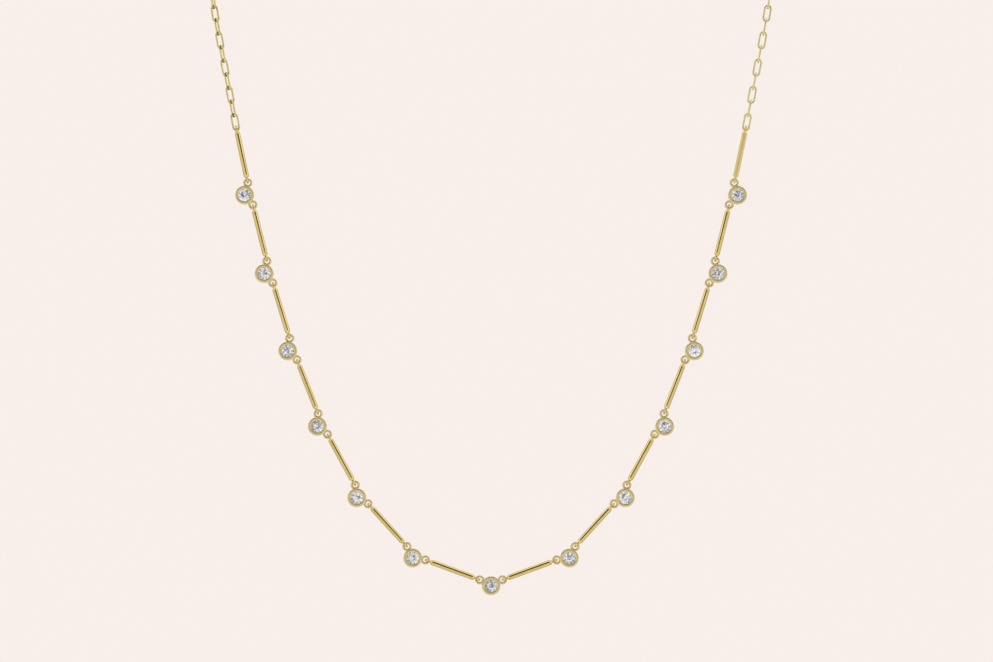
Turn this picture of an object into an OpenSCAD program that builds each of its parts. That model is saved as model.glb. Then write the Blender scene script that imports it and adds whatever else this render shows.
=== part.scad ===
// Fine gold necklace: round stones in rubbed-over settings, plain bars between them, and a
// paperclip chain. It is drawn in the form that it hangs in when it is worn. The front row
// hangs in an upright plane that faces -Y, and the chain runs back round the neck to the
// clasp. The origin is the middle of the clasp, at the nape. +Z is up.

/* [Whole necklace] */
// Length once round, along the middle of the row, chain and clasp, to the nearest whole link
necklace_length = 457; // [450:1:470]
// How fast the row curls up: the tangent of its slope grows by this from stone to stone
hang = 0.731; // [0.70:0.001:0.76]
// Height of the nape above the straight stretch of chain
nape_rise = 37; // [30:1:50]

/* [Settings] */
// Outside diameter of a setting
setting_d = 3.36; // [3.3:0.02:3.4]
// Depth of a setting below the middle of its rim
setting_h = 1.42; // [1.3:0.02:1.6]
// Width of the rolled rim
rim_w = 0.58; // [0.5:0.02:0.6]
// Distance from the middle of a stone to the middle of an eye
eye_reach = 2.30; // [2.26:0.01:2.34]
// Angle of each eye from the line that points into the curve
eye_angle = 62.5; // [55:0.5:70]

/* [Stones] */
// Diameter of a stone over its girdle
stone_d = 2.3; // [2.24:0.02:2.34]
// Diameter of the flat table, as a share of the girdle's
table_share = 0.56; // [0.5:0.01:0.65]

/* [Bars] */
// Length of a bar's round body, without its rings
bar_l = 8.31; // [8:0.01:8.6]
// Diameter of a bar's round body
bar_d = 0.96; // [0.8:0.02:1]
// Length over which each end of a bar is drawn down to its ring
bar_taper = 0.5; // [0.3:0.05:0.8]

/* [Rings] */
// Radius of every small ring and eye, to the middle of its wire
ring_r = 0.63; // [0.61:0.01:0.65]
// Diameter of the wire of every small ring and eye
ring_wire = 0.42; // [0.38:0.01:0.44]

/* [Chain] */
// Outside length of a link
link_l = 3.30; // [3.2:0.02:3.4]
// Outside width of a link
link_w = 1.44; // [1.43:0.01:1.55]
// Diameter of a link's wire
link_wire = 0.34; // [0.28:0.01:0.34]
// Slope of the chain where it leaves the outermost bar
chain_slope = 5.3; // [4.9:0.1:6]
// Links of the straight stretch above the outermost bar
straight_links = 7; // [6:1:8]
// Twist of the left chain below the shoulder
left_twist = 30; // [0:1:30]

/* [Clasp] */
// Length of the barrel
clasp_l = 7; // [6:0.5:8]
// Diameter of the barrel
clasp_d = 2.4; // [2:0.1:2.8]

/* [Hidden] */
side_stones = 6;
stones = 2 * side_stones + 1;
bars = stones + 1;

// Colours of the two materials
gold = [0.86, 0.74, 0.42];
clear = [0.93, 0.94, 0.96];

// Clear space left between interlocked pieces, and between a stone and its setting
slack = 0.125;
stone_gap = 0.05;

// Setting, from its middle plane, in which the eyes lie
rim_z = 0.62;
rim_h = 0.12;
back_z = rim_z - setting_h;
back_hole_r = 0.55;
back_bevel = 0.15;
girdle_z = 0.42;
lip_z = 0.56;
seat_z = 0.30;

// Stone
facets = 8;
girdle_h = 0.09;
crown_share = 0.15;
pavilion_share = 0.43;
crown_h = crown_share * stone_d;
pavilion_h = pavilion_share * stone_d;
star_share = 0.52;
half_facet_share = 0.24;
stone_turn = 19;

// Bar: the inner end of each ring is sunk into the bar's end. Two rings that hang in each
// other lie a ring's step apart, and the span runs from eye to eye.
ring_out = 0.34;
ring_step = 2 * ring_r - ring_wire - slack;
bar_span = bar_l + 2 * (ring_out + ring_step);
bar_tip_r = 0.31;

// First link: how far above the end of the bar's body the middle of its wire lies
link_rise = 0.32;

// Chain
first_twist_share = 1 / 3;
link_bend = (link_w - link_wire) / 2;
link_reach = link_l / 2 - link_wire / 2;
link_pitch = link_l - 2 * link_wire - slack;
straight_l = straight_links * link_pitch;
chain_lean = atan(chain_slope);

// Clasp: middle of each ring, and of the wire of the link that hooks into it
clasp_ring_x = clasp_l / 2 + ring_r - slack;
clasp_hook_x = clasp_ring_x + ring_r - ring_wire / 2 - link_wire / 2 - slack;
clasp_round_share = 0.5;

// Curve of the hidden chain: pull of its two ends, and how finely it is measured
front_pull = 29;
nape_pull = 46;
nape_dip = 4;
curve_steps = 200;
shallowest_neck = 30;
deepest_neck = 120;
halvings = 30;

// Middle line of the necklace, piece by piece, which gives the number of links a side
setting_chord = 2 * eye_reach * sin(eye_angle);
bar_over = (bar_span - bar_l) / 2 - link_rise;
front_l = bars * bar_span + stones * setting_chord - 2 * bar_over;
chain_room = (necklace_length - front_l - 2 * clasp_hook_x) / 2;
links = round((chain_room - 2 * link_reach) / link_pitch) + 1;
chain_l = (links - 1) * link_pitch + 2 * link_reach;

function pad(i) = i < 10 ? str("0", i) : str(i);

// Hanging row. Place k counts from the centre stone: whole for a stone, and half for a bar.
// Points of the row are [x, z], from the centre stone.

function heading(angle) = [cos(angle), sin(angle)];
function slope(k) = atan(k * hang);
function out_eye(k) = stone_at(k) + eye_reach * heading(slope(k) + 90 - eye_angle);
function stone_at(k) =
    k == 0 ? [0, 0] :
    out_eye(k - 1) + bar_span * heading(slope(k - 0.5))
    - eye_reach * heading(slope(k) + 90 + eye_angle);
function bar_at(k) = out_eye(k - 0.5) + bar_span / 2 * heading(slope(k));

// Right half of the chain's middle line. It starts at the wire of the first link, rises
// straight in the front plane, and then curves back over the shoulder to the nape.

top_bar = bar_at(side_stones + 0.5);
bar_end = bar_l / 2 + link_rise;
chain_foot = top_bar + bar_end * heading(slope(side_stones + 0.5));
shoulder = chain_foot + straight_l * heading(chain_lean);
drop = shoulder[1] + nape_rise;

function front_point(p, neck) = [p[0], -neck, p[1] - drop];
function upright(v) = [v[0], 0, v[1]];
function curve_pulls(neck) = [
    front_point(shoulder, neck),
    front_point(shoulder, neck) + front_pull * upright(heading(chain_lean)),
    [clasp_hook_x + nape_pull, 0, -nape_dip],
    [clasp_hook_x, 0, 0]
];
function curve_point(q, t) =
    pow(1 - t, 3) * q[0] + 3 * pow(1 - t, 2) * t * q[1]
    + 3 * (1 - t) * t * t * q[2] + pow(t, 3) * q[3];

// Rows of [length so far, share of the curve]
function curve_table(q) = [
    for (i = 0, l = 0;
         i <= curve_steps;
         l = l + norm(curve_point(q, (i + 1) / curve_steps) - curve_point(q, i / curve_steps)),
         i = i + 1)
        [l, i / curve_steps]
];
function curve_length(neck) = curve_table(curve_pulls(neck))[curve_steps][0];

// Depth of the neck at which the curve is as long as the links that are left for it
function neck_for(length, low, high, n) =
    n == 0 ? (low + high) / 2 :
    curve_length((low + high) / 2) < length
        ? neck_for(length, (low + high) / 2, high, n - 1)
        : neck_for(length, low, (low + high) / 2, n - 1);

neck = neck_for(chain_l - straight_l, shallowest_neck, deepest_neck, halvings);
pulls = curve_pulls(neck);
table = curve_table(pulls);

function chain_point(s) =
    s < straight_l
        ? front_point(chain_foot + s * heading(chain_lean), neck)
        : curve_point(pulls, lookup(s - straight_l, table));

// The face of an unturned link looks forward at the row and up at the nape
function unit(v) = v / norm(v);
function across(v, along) = unit(v - (v * along) * along);
function along_at(s) = unit(chain_point(s + link_reach) - chain_point(s - link_reach));
function face_at(s) = across([0, s / chain_l - 1, s / chain_l], along_at(s));

// Every second link stands across its neighbours, and the left chain has a little twist, of
// which its first link has a third and its second the whole. It is lost by the nape.
function link_turn(i, twist) =
    90 * (i % 2) - twist * (i == 0 ? first_twist_share : 1 - i / (links - 1));

// Pieces in their own frames

module ring() {
    rotate_extrude()
        translate([ring_r, 0])
            circle(d = ring_wire);
}

// Cup with a rolled rim, open at the back, and its two eyes. Its face looks along +Z.
module setting_piece() {
    outer_r = setting_d / 2;
    rim_mid = outer_r - rim_w / 2;
    seat_r = stone_d / 2 + stone_gap;
    rim = [for (a = [0:20:180]) [rim_mid + rim_w / 2 * cos(a), rim_z + rim_h * sin(a)]];
    inside = [
        [outer_r - rim_w, lip_z],
        [seat_r, lip_z],
        [seat_r, seat_z],
        [back_hole_r, seat_z - (seat_r - back_hole_r) * pavilion_h / (stone_d / 2)],
        [back_hole_r, back_z]
    ];
    outside = [
        [outer_r - back_bevel, back_z],
        [outer_r, back_z + back_bevel]
    ];
    color(gold) {
        rotate_extrude()
            polygon(concat(rim, inside, outside));
        for (side = [-1, 1])
            rotate(90 + side * eye_angle)
                translate([eye_reach, 0, 0])
                    ring();
    }
}

// Brilliant cut: a table, star, kite and half facets above the girdle, mains and halves below
module stone_piece() {
    r = stone_d / 2;
    step = 360 / facets;
    table_r = table_share * r;
    top_z = girdle_z + girdle_h / 2;
    low_z = girdle_z - girdle_h / 2;
    star_r = (table_r + star_share * (r - table_r)) / cos(step / 2);
    star_z = top_z + crown_h * (r - star_r * cos(step / 2)) / (r - table_r);
    half_r = half_facet_share * r / cos(step / 2);
    half_z = low_z - pavilion_h * (1 - half_facet_share);
    at = function (radius, angle, z) [radius * cos(angle), radius * sin(angle), z];
    points = concat(
        [for (i = [0:facets - 1]) at(table_r, i * step, top_z + crown_h)],
        [for (i = [0:facets - 1]) at(star_r, (i + 0.5) * step, star_z)],
        [for (i = [0:2 * facets - 1]) at(r, i * step / 2, top_z)],
        [for (i = [0:2 * facets - 1]) at(r, i * step / 2, low_z)],
        [for (i = [0:facets - 1]) at(half_r, (i + 0.5) * step, half_z)],
        [[0, 0, low_z - pavilion_h]]
    );
    star = facets;
    upper = 2 * facets;
    lower = 4 * facets;
    main = 6 * facets;
    culet = 7 * facets;
    next = function (i) (i + 1) % facets;
    around = function (i) (i + 2 * facets) % (2 * facets);
    faces = concat(
        [[for (i = [0:facets - 1]) facets - 1 - i]],
        [for (i = [0:facets - 1]) [i, next(i), star + i]],
        [for (i = [0:facets - 1])
            [i, star + i, upper + 2 * i, star + (i + facets - 1) % facets]],
        [for (i = [0:facets - 1]) [star + i, upper + 2 * i + 1, upper + 2 * i]],
        [for (i = [0:facets - 1]) [star + i, upper + around(2 * i + 2), upper + 2 * i + 1]],
        [for (i = [0:2 * facets - 1])
            [upper + i, upper + around(i + 1), lower + around(i + 1), lower + i]],
        [for (i = [0:facets - 1]) [main + i, lower + 2 * i, lower + 2 * i + 1]],
        [for (i = [0:facets - 1]) [main + i, lower + 2 * i + 1, lower + around(2 * i + 2)]],
        [for (i = [0:facets - 1])
            [culet, main + (i + facets - 1) % facets, lower + 2 * i, main + i]]
    );
    color(clear)
        polyhedron(points, faces);
}

// Round bar along X, drawn down at each end to a ring that stands across the row
module bar_piece() {
    nose = [for (a = [0:18:90])
        [bar_tip_r + (bar_d / 2 - bar_tip_r) * cos(a), bar_l / 2 - bar_taper * (1 - sin(a))]];
    half = concat(nose, [[0, bar_l / 2], [0, 0], [bar_d / 2, 0]]);
    color(gold)
        for (side = [-1, 1]) {
            rotate([0, side * 90, 0])
                rotate_extrude()
                    polygon(half);
            translate([side * (bar_l / 2 + ring_out), 0, 0])
                rotate([90, 0, 0])
                    ring();
        }
}

// Long link with round ends, flat in XY and long in X
module link_piece() {
    straight = 2 * (link_reach - link_bend);
    for (side = [-1, 1]) {
        translate([side * straight / 2, 0, 0])
            rotate(side * 90 - 180)
                rotate_extrude(angle = 180)
                    translate([link_bend, 0])
                        circle(d = link_wire);
        translate([0, side * link_bend, 0])
            rotate([0, 90, 0])
                cylinder(h = straight, d = link_wire, center = true);
    }
}

// Right chain, from the outermost bar to the clasp
module chain_piece(twist) {
    color(gold)
        for (i = [0:links - 1]) {
            s = link_reach + i * link_pitch;
            p = chain_point(s);
            x = along_at(s);
            z = face_at(s);
            y = cross(z, x);
            multmatrix([
                [x[0], y[0], z[0], p[0]],
                [x[1], y[1], z[1], p[1]],
                [x[2], y[2], z[2], p[2]]
            ])
                rotate([link_turn(i, twist), 0, 0])
                    link_piece();
        }
}

// Plain barrel along X. Its rings stand across the last link of each chain.
module clasp() {
    r = clasp_d / 2;
    round_r = clasp_round_share * r;
    corner = [for (a = [0:15:90])
        [r - round_r * (1 - cos(a)), clasp_l / 2 - round_r * (1 - sin(a))]];
    half = concat(corner, [[0, clasp_l / 2], [0, 0], [r, 0]]);
    color(gold)
        for (side = [-1, 1]) {
            rotate([0, side * 90, 0])
                rotate_extrude()
                    polygon(half);
            translate([side * clasp_ring_x, 0, 0])
                rotate([links % 2 == 1 ? 90 : 0, 0, 0])
                    ring();
        }
}

// Pieces in their places. Numbers run from the viewer's left to the right.

module in_row(p, angle) {
    translate(front_point(p, neck))
        rotate([90, 0, 0])
            rotate(angle)
                children();
}

function mirrored(p, k) = k < 0 ? [-p[0], p[1]] : p;

module setting(i) {
    k = i - 1 - side_stones;
    in_row(mirrored(stone_at(abs(k)), k), slope(k))
        setting_piece();
}

module stone(i) {
    k = i - 1 - side_stones;
    in_row(mirrored(stone_at(abs(k)), k), i * stone_turn)
        stone_piece();
}

module bar(i) {
    k = i - 1.5 - side_stones;
    in_row(mirrored(bar_at(abs(k)), k), slope(k))
        bar_piece();
}

module chain_right() {
    chain_piece(0);
}

module chain_left() {
    mirror([1, 0, 0])
        chain_piece(left_twist);
}

for (i = [1:stones]) {
    setting(i);
    stone(i);
}
for (i = [1:bars]) {
    bar(i);
}
chain_left();
chain_right();
clasp();
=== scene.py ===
from math import atan, cos, pi, radians, sin

import bpy
from mathutils import Matrix, Vector


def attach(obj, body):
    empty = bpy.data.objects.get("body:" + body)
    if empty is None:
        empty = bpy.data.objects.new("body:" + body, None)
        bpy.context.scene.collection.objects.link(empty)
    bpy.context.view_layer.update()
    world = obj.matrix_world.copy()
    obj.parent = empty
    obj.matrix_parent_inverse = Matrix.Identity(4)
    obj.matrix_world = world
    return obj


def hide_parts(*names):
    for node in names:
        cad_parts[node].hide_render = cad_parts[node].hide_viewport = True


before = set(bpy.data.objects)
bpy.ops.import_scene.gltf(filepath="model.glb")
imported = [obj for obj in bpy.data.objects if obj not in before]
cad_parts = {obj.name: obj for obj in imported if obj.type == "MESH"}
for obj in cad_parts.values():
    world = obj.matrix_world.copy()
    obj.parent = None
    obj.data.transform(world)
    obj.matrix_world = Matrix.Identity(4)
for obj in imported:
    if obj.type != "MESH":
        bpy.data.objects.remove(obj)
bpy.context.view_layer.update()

# Settings: thirteen short cups turned in pale 14 carat gold. The rim of each is rolled over the
# edge of its stone and burnished, the back is open, and two wire eyes are soldered to the side.
# Pieces are made in millimetres, and each copy is brought to metres as it is put in its place.
stones = 13
middle_stone = 7
cup_r = 1.68
cup_sides = 96
rim_w = 0.58
rim_h = 0.12
rim_z = 0.62
rim_steps = 18
lip_z = 0.56
seat_r = 1.20
seat_z = 0.30
hole_r = 0.55
hole_z = -0.259
back_z = -0.80
back_round = 0.15
eye_reach = 2.30
eye_angle = radians(62.5)
eye_bead = (0.24, 0.46, 0.24)
ring_r = 0.63
ring_wire = 0.42
merge_gap = 0.0005


def start_edit():
    bpy.ops.object.mode_set(mode="EDIT")
    bpy.ops.mesh.select_all(action="SELECT")


def end_edit():
    # Points that meet are merged, and all faces turned outwards
    bpy.ops.mesh.select_all(action="SELECT")
    bpy.ops.mesh.remove_doubles(threshold=merge_gap)
    bpy.ops.mesh.normals_make_consistent(inside=False)
    bpy.ops.object.mode_set(mode="OBJECT")


def turn_on_lathe(name, sides, outline):
    # A ring of points is drawn out along the outline, a step at a time
    r, z = outline[0]
    bpy.ops.object.select_all(action="DESELECT")
    bpy.ops.mesh.primitive_circle_add(vertices=sides, radius=r, location=(0, 0, z))
    bpy.ops.object.transform_apply(location=True)
    start_edit()
    for next_r, next_z in outline[1:]:
        bpy.ops.mesh.extrude_region_move(TRANSFORM_OT_translate={"value": (0, 0, next_z - z)})
        bpy.ops.transform.resize(value=(next_r / r, next_r / r, 1))
        r, z = next_r, next_z
    end_edit()
    made = bpy.context.object
    made.name = name
    return made


def wire_ring(place, turn):
    bpy.ops.object.select_all(action="DESELECT")
    bpy.ops.mesh.primitive_torus_add(
        location=place,
        rotation=turn,
        major_segments=48,
        minor_segments=16,
        major_radius=ring_r,
        minor_radius=ring_wire / 2,
    )
    return bpy.context.object


def solder_bead(place, turn, size):
    bpy.ops.object.select_all(action="DESELECT")
    bpy.ops.mesh.primitive_uv_sphere_add(
        segments=32, ring_count=16, radius=1, location=place, rotation=turn, scale=size
    )
    return bpy.context.object


def pick(piece):
    bpy.ops.object.select_all(action="DESELECT")
    bpy.context.view_layer.objects.active = piece
    piece.select_set(True)


def solder(piece, *parts):
    # The parts are melted into the piece, which stays one closed skin. Each join leaves an empty
    # material slot, which would come before the gold, so the slots are cleared.
    for part in parts:
        pick(piece)
        join = piece.modifiers.new("join", "BOOLEAN")
        join.operation = "UNION"
        join.solver = "MANIFOLD"
        join.object = part
        bpy.ops.object.modifier_apply(modifier=join.name)
        bpy.data.objects.remove(part)
    piece.data.materials.clear()
    start_edit()
    end_edit()


rim_mid = cup_r - rim_w / 2
outline = [(cup_r - back_round, back_z)]
outline += [
    (cup_r - back_round * (1 - sin(a)), back_z + back_round * (1 - cos(a)))
    for a in (pi / 6, pi / 3, pi / 2)
]
outline += [
    (rim_mid + rim_w / 2 * cos(a), rim_z + rim_h * sin(a))
    for a in (pi * step / rim_steps for step in range(rim_steps + 1))
]
outline += [(rim_mid - rim_w / 2, lip_z), (seat_r, lip_z), (seat_r, seat_z)]
outline += [(hole_r, hole_z), (hole_r, back_z), (cup_r - back_round, back_z)]
cup = turn_on_lathe("cup", cup_sides, outline)
for side in (-1, 1):
    toward = pi / 2 + side * eye_angle
    turn = (0, 0, toward)
    eye = wire_ring((eye_reach * cos(toward), eye_reach * sin(toward), 0), turn)
    bead_r = eye_reach - ring_r
    bead = solder_bead((bead_r * cos(toward), bead_r * sin(toward), 0), turn, eye_bead)
    solder(cup, eye, bead)

# The finish of the gold, and a painted shade, are kept in marks on each point: "own" is its place in
# millimetres on its own piece, the shade mark is 1 where a neighbour hangs on it, and "haze" is 1
# where it was never polished.
smooth_angle = radians(38)
grain_step = 37.0
# Painted shade where a bar hangs in an eye: the spot lies out and down from the eye, with this reach
worn_out = 0.5
worn_down = 0.05
painted_shade_reach = 0.42
cup_haze = 0.32
edge_tone = (1.0, 0.84, 0.5)
# The dark brown of the painted shade
worn_tone = (0.15, 0.10, 0.014)
wave_height = 0.000004


def polish(piece):
    # Smooth all over but for the cut edges
    pick(piece)
    bpy.ops.object.shade_smooth_by_angle(angle=smooth_angle)
    own = piece.data.attributes.new("own", "FLOAT_VECTOR", "POINT")
    own.data.foreach_set("vector", [x for v in piece.data.vertices for x in v.co])


def mark(piece, label, shares):
    marks = piece.data.attributes.new(label, "FLOAT", "POINT")
    marks.data.foreach_set("value", shares)


def paint_shade(piece, spots, reach):
    # Painted shade: the gold is coloured dark brown at the spots, where a neighbour hangs, and less
    # so out to the reach
    points = [v.co for v in piece.data.vertices]
    near = [max(1 - (point - Vector(spot)).length / reach for spot in spots) for point in points]
    mark(piece, "worn", [max(0.0, share) for share in near])


polish(cup)
hangs = [
    (side * (eye_reach * sin(eye_angle) + worn_out), eye_reach * cos(eye_angle) - worn_down, 0)
    for side in (-1, 1)
]
# Painted shade on the cup where each bar hangs in an eye
paint_shade(cup, hangs, painted_shade_reach)
mark(cup, "haze", [cup_haze if v.co.xy.length < cup_r else 0 for v in cup.data.vertices])


def read_mark(tree, label, output):
    reader = tree.nodes.new("ShaderNodeAttribute")
    reader.attribute_name = label
    return reader.outputs[output]


def noise(tree, source, scale, detail):
    cloud = tree.nodes.new("ShaderNodeTexNoise")
    cloud.inputs["Scale"].default_value = scale
    cloud.inputs["Detail"].default_value = detail
    tree.links.new(source, cloud.inputs["Vector"])
    return cloud.outputs["Fac"]


def span(tree, source, start, end, low, high, ease="LINEAR"):
    # As the source goes from start to end, the result goes from low to high
    reach = tree.nodes.new("ShaderNodeMapRange")
    reach.interpolation_type = ease
    reach.inputs["From Min"].default_value = start
    reach.inputs["From Max"].default_value = end
    reach.inputs["To Min"].default_value = low
    reach.inputs["To Max"].default_value = high
    tree.links.new(source, reach.inputs["Value"])
    return reach.outputs["Result"]


def combine(tree, operation, a, b):
    sum_up = tree.nodes.new("ShaderNodeMath")
    sum_up.operation = operation
    tree.links.new(a, sum_up.inputs[0])
    tree.links.new(b, sum_up.inputs[1])
    return sum_up.outputs["Value"]


def shade(tree, share, none, full):
    # One colour where the share is 0, the other where it is 1
    mix = tree.nodes.new("ShaderNodeMix")
    mix.data_type = "RGBA"
    tree.links.new(share, mix.inputs["Factor"])
    for socket, colour in (("A", none), ("B", full)):
        if isinstance(colour, tuple):
            mix.inputs[socket].default_value = (*colour, 1)
        else:
            tree.links.new(colour, mix.inputs[socket])
    return mix.outputs["Result"]


def pale_gold(name, light, deep, metallic, least_rough, most_rough, grain):
    # Gold alloy: tone that drifts slowly, painted shade in dark brown where a neighbour hangs on it,
    # and the haze and faint waves that the buffing wheel leaves. A piece that is marked as hazy was
    # only brushed.
    made = bpy.data.materials.new(name)
    made.use_nodes = True
    tree = made.node_tree
    shader = tree.nodes["Principled BSDF"]
    shader.inputs["Metallic"].default_value = metallic
    shader.inputs["Specular Tint"].default_value = (*edge_tone, 1)
    own = read_mark(tree, "own", "Vector")
    drift = span(tree, noise(tree, own, scale=1.1, detail=2.0), start=0.35, end=0.65, low=0, high=1)
    tone = shade(tree, drift, none=deep, full=light)
    # Painted shade: dark brown mixed in where a neighbour hangs on the piece
    worn = span(tree, read_mark(tree, "worn", "Fac"), start=0.15, end=0.7, low=0, high=0.93)
    with_painted_shade = shade(tree, worn, none=tone, full=worn_tone)
    tree.links.new(with_painted_shade, shader.inputs["Base Color"])
    lay = tree.nodes.new("ShaderNodeMapping")
    lay.inputs["Scale"].default_value = grain
    tree.links.new(own, lay.inputs["Vector"])
    streaks = noise(tree, lay.outputs["Vector"], scale=1.0, detail=3.0)
    buffed = span(tree, streaks, start=0.3, end=0.7, low=least_rough, high=most_rough)
    brushed = span(tree, read_mark(tree, "haze", "Fac"), start=0, end=1, low=0, high=0.7)
    tree.links.new(combine(tree, "ADD", buffed, brushed), shader.inputs["Roughness"])
    waves = tree.nodes.new("ShaderNodeBump")
    waves.inputs["Strength"].default_value = 0.5
    waves.inputs["Distance"].default_value = wave_height
    tree.links.new(noise(tree, own, scale=1.6, detail=1.0), waves.inputs["Height"])
    tree.links.new(waves.outputs["Normal"], shader.inputs["Normal"])
    return made


cup_gold = pale_gold(
    "burnished_gold",
    light=(1.0, 0.87, 0.48),
    deep=(1.0, 0.83, 0.41),
    metallic=0.56,
    least_rough=0.08,
    most_rough=0.16,
    grain=(2.5, 2.5, 9),
)
cup.data.materials.append(cup_gold)

# The settings hang in an upright row, with places counted from its middle stone, which lies the drop
# below the clasp and the front depth before it. The row's slope grows with the weight between a place
# and the middle, and eyes and bars pull in a line. Both halves are alike.
hang = 0.731
bar_span = 10.42
front_depth = 70.2778
drop = 136.168
mm = 0.001


def slope(k):
    return atan(k * hang)


def heading(angle):
    return Vector((cos(angle), sin(angle)))


def out_eye(k):
    return stone_at(k) + eye_reach * heading(slope(k) + pi / 2 - eye_angle)


def stone_at(k):
    if k == 0:
        return Vector((0, 0))
    in_eye = out_eye(k - 1) + bar_span * heading(slope(k - 0.5))
    return in_eye - eye_reach * heading(slope(k) + pi / 2 + eye_angle)


def in_row(at, k):
    side = -1 if k < 0 else 1
    return (
        Matrix.Translation((side * at[0], -front_depth, at[1] - drop))
        @ Matrix.Rotation(pi / 2, 4, "X")
        @ Matrix.Rotation(slope(k), 4, "Z")
    )


def put(pattern, name, place, number):
    # A copy of the pattern in its place, in metres, with its own mesh and its own grain
    piece = bpy.data.objects.new(name, pattern.data.copy())
    bpy.context.scene.collection.objects.link(piece)
    piece.data.transform(Matrix.Scale(mm, 4) @ place)
    for own in piece.data.attributes["own"].data:
        own.vector = own.vector + Vector((grain_step * number, 0, 0))
    return piece


for number in range(1, stones + 1):
    k = number - middle_stone
    setting = put(cup, f"set_cup_{number:02d}", in_row(stone_at(abs(k)), k), number)
    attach(setting, "root")
    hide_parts(f"setting_{number:02d}")
bpy.data.objects.remove(cup)

# Stones: thirteen round brilliants of about 2.3 mm, cut with a table, stars, kites and halves above
# the girdle and mains and halves below. They are the solids of the frame, and keep their facets.
# Each is clear and strongly refracting, with dark reflections painted on in slate and mauve where its
# middle looks darker.
girdle_z = 0.42
dark_up = 0.16
clear_down = 0.2
painted_reflection_step = 5.0
clear_tone = (1.0, 0.995, 0.98)
# Tones of the painted dark reflections, from white through mauve and slate to near black
painted_reflection_tones = (
    (0.455, (1, 1, 1, 1)),
    (0.49, (0.66, 0.61, 0.68, 1)),
    (0.54, (0.20, 0.22, 0.29, 1)),
    (0.61, (0.05, 0.055, 0.075, 1)),
)

# How much less painted dark reflection each stone has than the rest, from the left
less_painted_reflection = (0, 0, 0.05, 0.01, -0.04, -0.06, 0.075, 0.07, 0, 0.01, -0.025, 0.01, 0.01)


def from_middle(tree, source, middle, size):
    # Measured from a middle, in steps of a size
    lay = tree.nodes.new("ShaderNodeMapping")
    lay.vector_type = "TEXTURE"
    lay.inputs["Location"].default_value = middle
    lay.inputs["Scale"].default_value = size
    tree.links.new(source, lay.inputs["Vector"])
    return lay.outputs["Vector"]


def distance(tree, source, point):
    away = tree.nodes.new("ShaderNodeVectorMath")
    away.operation = "DISTANCE"
    away.inputs[1].default_value = point
    tree.links.new(source, away.inputs[0])
    return away.outputs["Value"]


def cut_diamond(number, middle):
    made = bpy.data.materials.new(f"cut_diamond_{number:02d}")
    made.use_nodes = True
    tree = made.node_tree
    shader = tree.nodes["Principled BSDF"]
    shader.inputs["Roughness"].default_value = 0.0
    shader.inputs["IOR"].default_value = 2.42
    shader.inputs["Transmission Weight"].default_value = 1.0
    where = tree.nodes.new("ShaderNodeTexCoord")
    high = mm * (middle + Vector((0, 0, dark_up)))
    centred = from_middle(tree, where.outputs["Object"], high, (mm, mm, mm))

    # The painted dark reflections fill a round a little above the middle, thin out in the middle
    # itself, and stop at the girdle
    off = distance(tree, centred, (0, 0, 0))
    disc = span(tree, off, start=0.68, end=0.86, low=1, high=0, ease="SMOOTHSTEP")
    below = distance(tree, centred, (0, 0, -clear_down))
    kept = span(tree, below, start=0.18, end=0.45, low=0.15, high=1, ease="SMOOTHSTEP")
    axes = tree.nodes.new("ShaderNodeSeparateXYZ")
    tree.links.new(centred, axes.inputs["Vector"])
    crown = span(tree, axes.outputs["Y"], start=-0.04, end=0.0, low=1, high=0)
    share = combine(tree, "MULTIPLY", combine(tree, "MULTIPLY", disc, kept), crown)

    # Each stone has painted dark reflections of its own
    own = tree.nodes.new("ShaderNodeVectorMath")
    own.operation = "ADD"
    own.inputs[1].default_value = (painted_reflection_step * number, 0, 0)
    tree.links.new(centred, own.inputs[0])
    tones = tree.nodes.new("ShaderNodeValToRGB")
    tree.links.new(noise(tree, own.outputs["Vector"], scale=1.5, detail=1.0), tones.inputs["Fac"])
    stops = tones.color_ramp.elements
    for place, colour in painted_reflection_tones:
        stops.new(place + less_painted_reflection[number - 1]).color = colour
    stops.remove(stops[0])
    stops.remove(stops[-1])
    # Painted reflection: the dark tones laid over the clear stone in the round
    tint = shade(tree, share, none=clear_tone, full=tones.outputs["Color"])
    tree.links.new(tint, shader.inputs["Base Color"])
    return made


for number in range(1, stones + 1):
    k = number - middle_stone
    middle = in_row(stone_at(abs(k)), k) @ Vector((0, 0, girdle_z))
    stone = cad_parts[f"stone_{number:02d}"]
    stone.data.materials.clear()
    stone.data.materials.append(cut_diamond(number, middle))

# Bars: fourteen lengths of round gold wire, drawn down at both ends and soldered there to a ring that
# stands across the row, so that the eyes can hang in it. Some are polished brighter than others, and
# the outermost on the right is brushed, and its gold is painted lighter and less metallic to stand
# for brighter light on it.
bar_l = 8.31
bar_r = 0.48
bar_sides = 64
bar_taper = 0.5
bar_tip_r = 0.31
nose_steps = 10
ring_out = 0.34
bar_bead_in = 0.06
bar_bead = (0.13, 0.22, 0.36)
core_r = 0.02

# How far each bar is from a full polish, from the left
bar_haze = (0.05, 0.15, 0.1, 0.3, 0.1, 0.3, 0.05, 0.05, 0, 0.05, 0.05, 0, 0.05, 0)
brushed_painted_light_bar = 14


def close_ends():
    # The small holes that the lathe leaves on the axis are filled
    start_edit()
    bpy.ops.mesh.select_mode(type="EDGE")
    bpy.ops.mesh.select_all(action="DESELECT")
    bpy.ops.mesh.select_non_manifold(extend=False)
    bpy.ops.mesh.fill_holes(sides=0)
    end_edit()


def lay_along_x():
    start_edit()
    bpy.ops.transform.rotate(value=pi / 2, orient_axis="Y", center_override=(0, 0, 0))
    end_edit()


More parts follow.
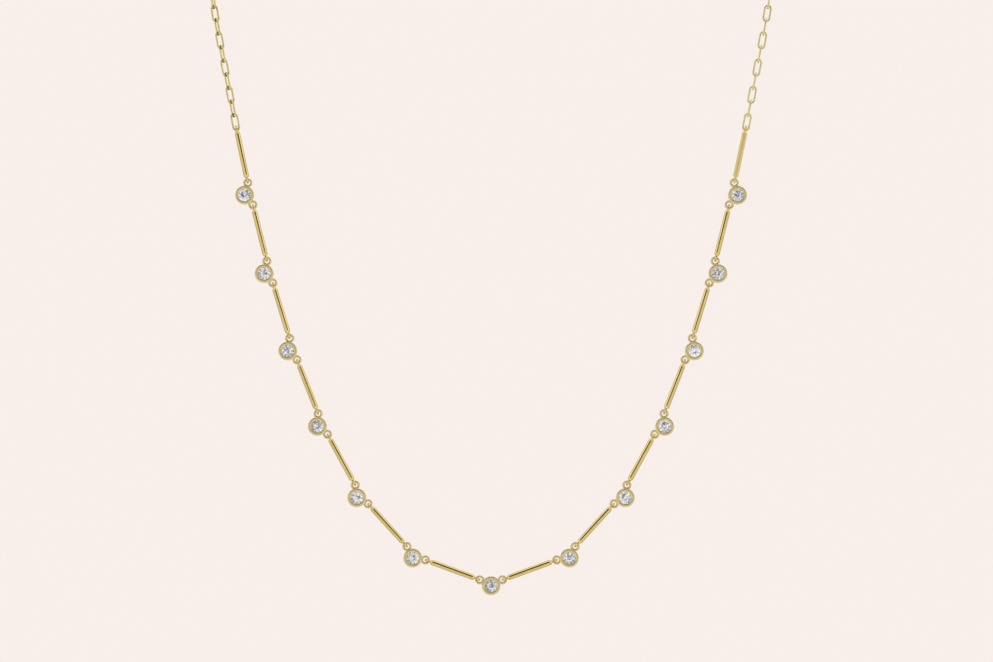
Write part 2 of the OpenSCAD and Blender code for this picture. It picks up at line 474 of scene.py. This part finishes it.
nose = [
    (bar_tip_r + (bar_r - bar_tip_r) * cos(a), bar_l / 2 - bar_taper * (1 - sin(a)))
    for a in (pi * step / (2 * nose_steps) for step in range(nose_steps + 1))
]
nose += [(core_r, bar_l / 2)]
bar = turn_on_lathe("bar", bar_sides, [(r, -z) for r, z in reversed(nose)] + nose)
close_ends()
lay_along_x()
for side in (-1, 1):
    end_ring = wire_ring((side * (bar_l / 2 + ring_out), 0, 0), (pi / 2, 0, 0))
    bead = solder_bead((side * (bar_l / 2 - bar_bead_in), 0, 0), (0, 0, 0), bar_bead)
    solder(bar, end_ring, bead)
polish(bar)
bar_gold = pale_gold(
    "drawn_gold",
    light=(0.93, 0.745, 0.325),
    deep=(0.87, 0.67, 0.24),
    metallic=1.0,
    least_rough=0.03,
    most_rough=0.07,
    grain=(0.6, 8, 8),
)
# Painted light: a lighter, less metallic copy of the drawn gold for the outermost right bar; its
# roughness is a brushed finish
brushed_painted_light_gold = pale_gold(
    "brushed_painted_light_gold",
    light=(1.0, 0.82, 0.38),
    deep=(1.0, 0.77, 0.32),
    metallic=0.3,
    least_rough=0.42,
    most_rough=0.50,
    grain=(0.6, 8, 8),
)
bar.data.materials.append(bar_gold)
for number in range(1, stones + 2):
    k = number - middle_stone - 0.5
    at = out_eye(abs(k) - 0.5) + bar_span / 2 * heading(slope(abs(k)))
    joining_bar = put(bar, f"joining_bar_{number:02d}", in_row(at, k), number)
    mark(joining_bar, "haze", [bar_haze[number - 1]] * len(joining_bar.data.vertices))
    if number == brushed_painted_light_bar:
        joining_bar.data.materials[0] = brushed_painted_light_gold
    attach(joining_bar, "root")
    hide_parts(f"bar_{number:02d}")
bpy.data.objects.remove(bar)

# Chain: a paperclip chain of fine gold wire on each side. Every link is bent to a long ring with
# round ends, soldered in the middle of one side, and hangs across its neighbours. The chain rises
# straight from the outermost bar, then curves back over the shoulder to the clasp at the nape.
link_l = 3.30
link_w = 1.44
link_wire = 0.34
link_painted_shade_reach = 0.62
links_a_side = 50
link_pitch = 2.495
link_rise = 0.32
link_reach = link_l / 2 - link_wire / 2
link_bend = (link_w - link_wire) / 2
chain_l = (links_a_side - 1) * link_pitch + 2 * link_reach

bpy.ops.object.select_all(action="DESELECT")
bpy.ops.mesh.primitive_torus_add(
    major_segments=32, minor_segments=14, major_radius=link_bend, minor_radius=link_wire / 2
)
link = bpy.context.object
start_edit()
bpy.ops.mesh.bisect(plane_co=(0, 0, 0), plane_no=(1, 0, 0), clear_inner=True, threshold=0.0001)
bpy.ops.mesh.select_all(action="SELECT")
bpy.ops.transform.translate(value=(link_reach - link_bend, 0, 0))
bpy.ops.mesh.select_all(action="DESELECT")
bpy.ops.mesh.select_mode(type="EDGE")
bpy.ops.mesh.select_non_manifold(extend=False)
bpy.ops.mesh.extrude_region_move(TRANSFORM_OT_translate={"value": (link_bend - link_reach, 0, 0)})
bpy.ops.object.mode_set(mode="OBJECT")
whole = link.modifiers.new("whole", "MIRROR")
whole.use_axis = (True, False, False)
whole.merge_threshold = merge_gap
bpy.ops.object.modifier_apply(modifier=whole.name)
start_edit()
end_edit()
polish(link)
# Painted shade at both round ends, where the neighbouring links hang
paint_shade(link, [(side * link_reach, 0, 0) for side in (-1, 1)], link_painted_shade_reach)

# The right chain has a lighter copy of the gold and less painted shade, painted light for the
# brighter light on that side. The links of the left one hang a little turned, the more the nearer
# they are to its foot, though the first link is held back by its bar.
left_painted_shade = 1.0
left_twist = 30
right_painted_shade = 0.45
right_twist = 0
# Painted light: lighter and darker copies of one chain gold, for the brighter light on the right
# chain
shaded_chain_gold = pale_gold(
    "worn_chain_gold",
    light=(1.0, 0.88, 0.43),
    deep=(0.98, 0.82, 0.34),
    metallic=0.7,
    least_rough=0.32,
    most_rough=0.42,
    grain=(1, 6, 6),
)
lit_chain_gold = pale_gold(
    "painted_light_chain_gold",
    light=(1.0, 0.93, 0.51),
    deep=(1.0, 0.88, 0.42),
    metallic=0.7,
    least_rough=0.32,
    most_rough=0.42,
    grain=(1, 6, 6),
)

# The straight stretch, and the pulls at both ends of the bend, which ends at the hook of the clasp
chain_slope = 5.3
straight_l = 17.465
front_pull = 29
nape_pull = 46
nape_dip = 4
hook_x = 4.13
curve_steps = 200


def in_front(x, z):
    return Vector((x, -front_depth, z - drop))


top_slope = slope(stones / 2)
top_bar = out_eye(stones - middle_stone) + bar_span / 2 * heading(top_slope)
chain_foot = top_bar + (bar_l / 2 + link_rise) * heading(top_slope)
lean = heading(atan(chain_slope))
shoulder = chain_foot + straight_l * lean
pulls = [
    in_front(shoulder[0], shoulder[1]),
    in_front(shoulder[0] + front_pull * lean[0], shoulder[1] + front_pull * lean[1]),
    Vector((hook_x + nape_pull, 0, -nape_dip)),
    Vector((hook_x, 0, 0)),
]


def curve_point(t):
    # The bend over the shoulder, between the first and the last of the four points
    p, q, r, s = pulls
    return (1 - t) ** 3 * p + 3 * (1 - t) ** 2 * t * q + 3 * (1 - t) * t * t * r + t**3 * s


so_far = [0.0]
for step in range(curve_steps):
    stride = curve_point((step + 1) / curve_steps) - curve_point(step / curve_steps)
    so_far.append(so_far[-1] + stride.length)


def chain_point(s):
    # The middle line of the chain at a length from its foot
    if s < straight_l:
        at = chain_foot + s * lean
        return in_front(at[0], at[1])
    s = min(s - straight_l, so_far[-1])
    step = next(i for i in range(1, curve_steps + 1) if so_far[i] >= s)
    share = (s - so_far[step - 1]) / (so_far[step] - so_far[step - 1])
    return curve_point((step - 1 + share) / curve_steps)


for side, twist, painted_shade_share, gold in (
    ("right", right_twist, right_painted_shade, lit_chain_gold),
    ("left", left_twist, left_painted_shade, shaded_chain_gold),
):
    bpy.ops.object.select_all(action="DESELECT")
    for i in range(links_a_side):
        # The first link and every second one after it face the front at the foot of the chain and
        # up at the nape, and the others stand across them
        s = link_reach + i * link_pitch
        x = (chain_point(s + link_reach) - chain_point(s - link_reach)).normalized()
        face = Vector((0, s / chain_l - 1, s / chain_l))
        z = (face - face.dot(x) * x).normalized()
        y = z.cross(x)
        p = chain_point(s)
        place = Matrix([(x[n], y[n], z[n], p[n]) for n in range(3)] + [(0, 0, 0, 1)])
        swing = twist / 3 if i == 0 else twist * (1 - i / (links_a_side - 1))
        place = place @ Matrix.Rotation(radians(90 * (i % 2) - swing), 4, "X")
        if side == "left":
            place = Matrix.Scale(-1, 4, (1, 0, 0)) @ place @ Matrix.Scale(-1, 4, (0, 1, 0))
        piece = put(link, f"link_{side}_{i:02d}", place, i)
        piece.select_set(True)
        bpy.context.view_layer.objects.active = piece
    bpy.ops.object.join()
    chain = bpy.context.object
    chain.name = f"paperclip_chain_{side}"
    chain.data.materials.append(gold)
    # Painted shade at the interlocks, less of it on the brighter right chain
    for worn in chain.data.attributes["worn"].data:
        worn.value *= painted_shade_share
    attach(chain, "root")
    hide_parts(f"chain_{side}")
bpy.data.objects.remove(link)

# Clasp: a plain barrel of polished gold at the nape, with rounded ends and a ring soldered to each.
# It lies across the neck, and the last link of each chain hangs in its ring.
clasp_l = 7
clasp_r = 1.2
clasp_sides = 96
clasp_round = 0.6
round_steps = 8
clasp_ring_x = 4.005
clasp_bead = (0.16, 0.38, 0.22)
clasp_hang_x = clasp_ring_x + 0.45
outline = [(core_r, -clasp_l / 2)]
outline += [
    (clasp_r - clasp_round * (1 - sin(a)), -clasp_l / 2 + clasp_round * (1 - cos(a)))
    for a in (pi * step / (2 * round_steps) for step in range(round_steps + 1))
]
outline += [(r, -z) for r, z in reversed(outline)]
clasp = turn_on_lathe("clasp", clasp_sides, outline)
close_ends()
lay_along_x()
for side in (-1, 1):
    end_ring = wire_ring((side * clasp_ring_x, 0, 0), (0, 0, 0))
    bead = solder_bead((side * clasp_l / 2, 0, 0), (0, 0, 0), clasp_bead)
    solder(clasp, end_ring, bead)
polish(clasp)
# Painted shade at both rings, where the last links hang
paint_shade(clasp, [(side * clasp_hang_x, 0, 0) for side in (-1, 1)], painted_shade_reach)
clasp.data.materials.append(cup_gold)
barrel = put(clasp, "barrel_clasp", Matrix.Identity(4), 0)
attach(barrel, "root")
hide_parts("clasp")
bpy.data.objects.remove(clasp)

# Studio: the necklace hangs before a plain warm white, with a floor of the same white far below.
# It is lit from all round by a soft tent, which opens in a dark round above the camera.
backdrop = (0.9387, 0.8632, 0.8228)
floor_z = -0.22
floor_r = 6
bpy.ops.object.select_all(action="DESELECT")
bpy.ops.mesh.primitive_circle_add(
    vertices=128, radius=floor_r, fill_type="NGON", location=(0, 0, floor_z)
)
floor = bpy.context.object
floor.name = "floor"
bpy.ops.object.transform_apply(location=True)
floor_white = bpy.data.materials.new("floor_white")
floor_white.use_nodes = True
tree = floor_white.node_tree
glow = tree.nodes.new("ShaderNodeEmission")
glow.inputs["Color"].default_value = (*backdrop, 1)
tree.links.new(glow.outputs["Emission"], tree.nodes["Material Output"].inputs["Surface"])
floor.data.materials.append(floor_white)
floor.visible_glossy = False
floor.visible_diffuse = False
floor.visible_transmission = False
floor.visible_shadow = False

tent = bpy.data.worlds.new("tent")
bpy.context.scene.world = tent
tent.use_nodes = True
tree = tent.node_tree
tree.nodes.clear()
where = tree.nodes.new("ShaderNodeTexCoord")
direction = where.outputs["Generated"]
axes = tree.nodes.new("ShaderNodeSeparateXYZ")
tree.links.new(direction, axes.inputs["Vector"])
away = axes.outputs["Y"]
up = axes.outputs["Z"]


def fade(source, start, end, low, high):
    return span(tree, source, start, end, low, high, ease="SMOOTHSTEP")


def times(a, b):
    return combine(tree, "MULTIPLY", a, b)


# The cloth is brightest overhead and dimmer behind the necklace. The dark round ends at the horizon.
height = fade(up, start=-0.3, end=0.5, low=0.74, high=1.09)
behind = fade(away, start=-0.1, end=0.7, low=1, high=0.5)
front = fade(away, start=-1.0, end=-0.95, low=0.92, high=1)
level = times(times(height, behind), front)
above = from_middle(tree, direction, middle=(0, 0, 0.34), size=(0.75, 50, 0.58))
round_hole = fade(distance(tree, above, (0, 0, 0)), start=0.88, end=1.0, low=1, high=0)
opening = times(round_hole, fade(up, start=-0.01, end=0.04, low=0, high=1))
seam = times(opening, fade(away, start=-0.4, end=-0.2, low=1, high=0))
soft = tree.nodes.new("ShaderNodeBackground")
cloth = shade(tree, seam, none=(1.0, 0.985, 0.96), full=(0.085, 0.062, 0.015))
tree.links.new(cloth, soft.inputs["Color"])
tree.links.new(level, soft.inputs["Strength"])

# Inside a stone the mains throw back the front of the room, which is dim, and the rest is bright
from_front = distance(tree, direction, (0, -0.97, 0.22))
dim = fade(from_front, start=0.32, end=0.56, low=1, high=0)
sparkle = tree.nodes.new("ShaderNodeBackground")
fire = shade(tree, dim, none=(1.34, 1.31, 1.26), full=(0.66, 0.68, 0.75))
tree.links.new(fire, sparkle.inputs["Color"])

# Looked at directly, the room is only the plain backdrop
plain = tree.nodes.new("ShaderNodeBackground")
plain.inputs["Color"].default_value = (*backdrop, 1)
seen = tree.nodes.new("ShaderNodeLightPath")
through = tree.nodes.new("ShaderNodeMixShader")
tree.links.new(seen.outputs["Is Transmission Ray"], through.inputs["Fac"])
tree.links.new(soft.outputs["Background"], through.inputs[1])
tree.links.new(sparkle.outputs["Background"], through.inputs[2])
either = tree.nodes.new("ShaderNodeMixShader")
tree.links.new(seen.outputs["Is Camera Ray"], either.inputs["Fac"])
tree.links.new(through.outputs["Shader"], either.inputs[1])
tree.links.new(plain.outputs["Background"], either.inputs[2])
out = tree.nodes.new("ShaderNodeOutputWorld")
tree.links.new(either.outputs["Shader"], out.inputs["Surface"])

# The camera is a metre in front of the row and looks straight at it
camera_x = 0.98
camera_z = 45.85
camera_away = 1.0
camera = bpy.data.objects.new("camera", bpy.data.cameras.new("camera"))
bpy.context.scene.collection.objects.link(camera)
camera.data.sensor_width = 36
camera.data.lens = 201.4
camera.data.clip_end = 50
camera.location = (mm * camera_x, -mm * front_depth - camera_away, mm * (camera_z - drop))
camera.rotation_euler = (pi / 2, 0, 0)
bpy.context.scene.camera = camera
bpy.context.scene.view_settings.view_transform = "Standard"
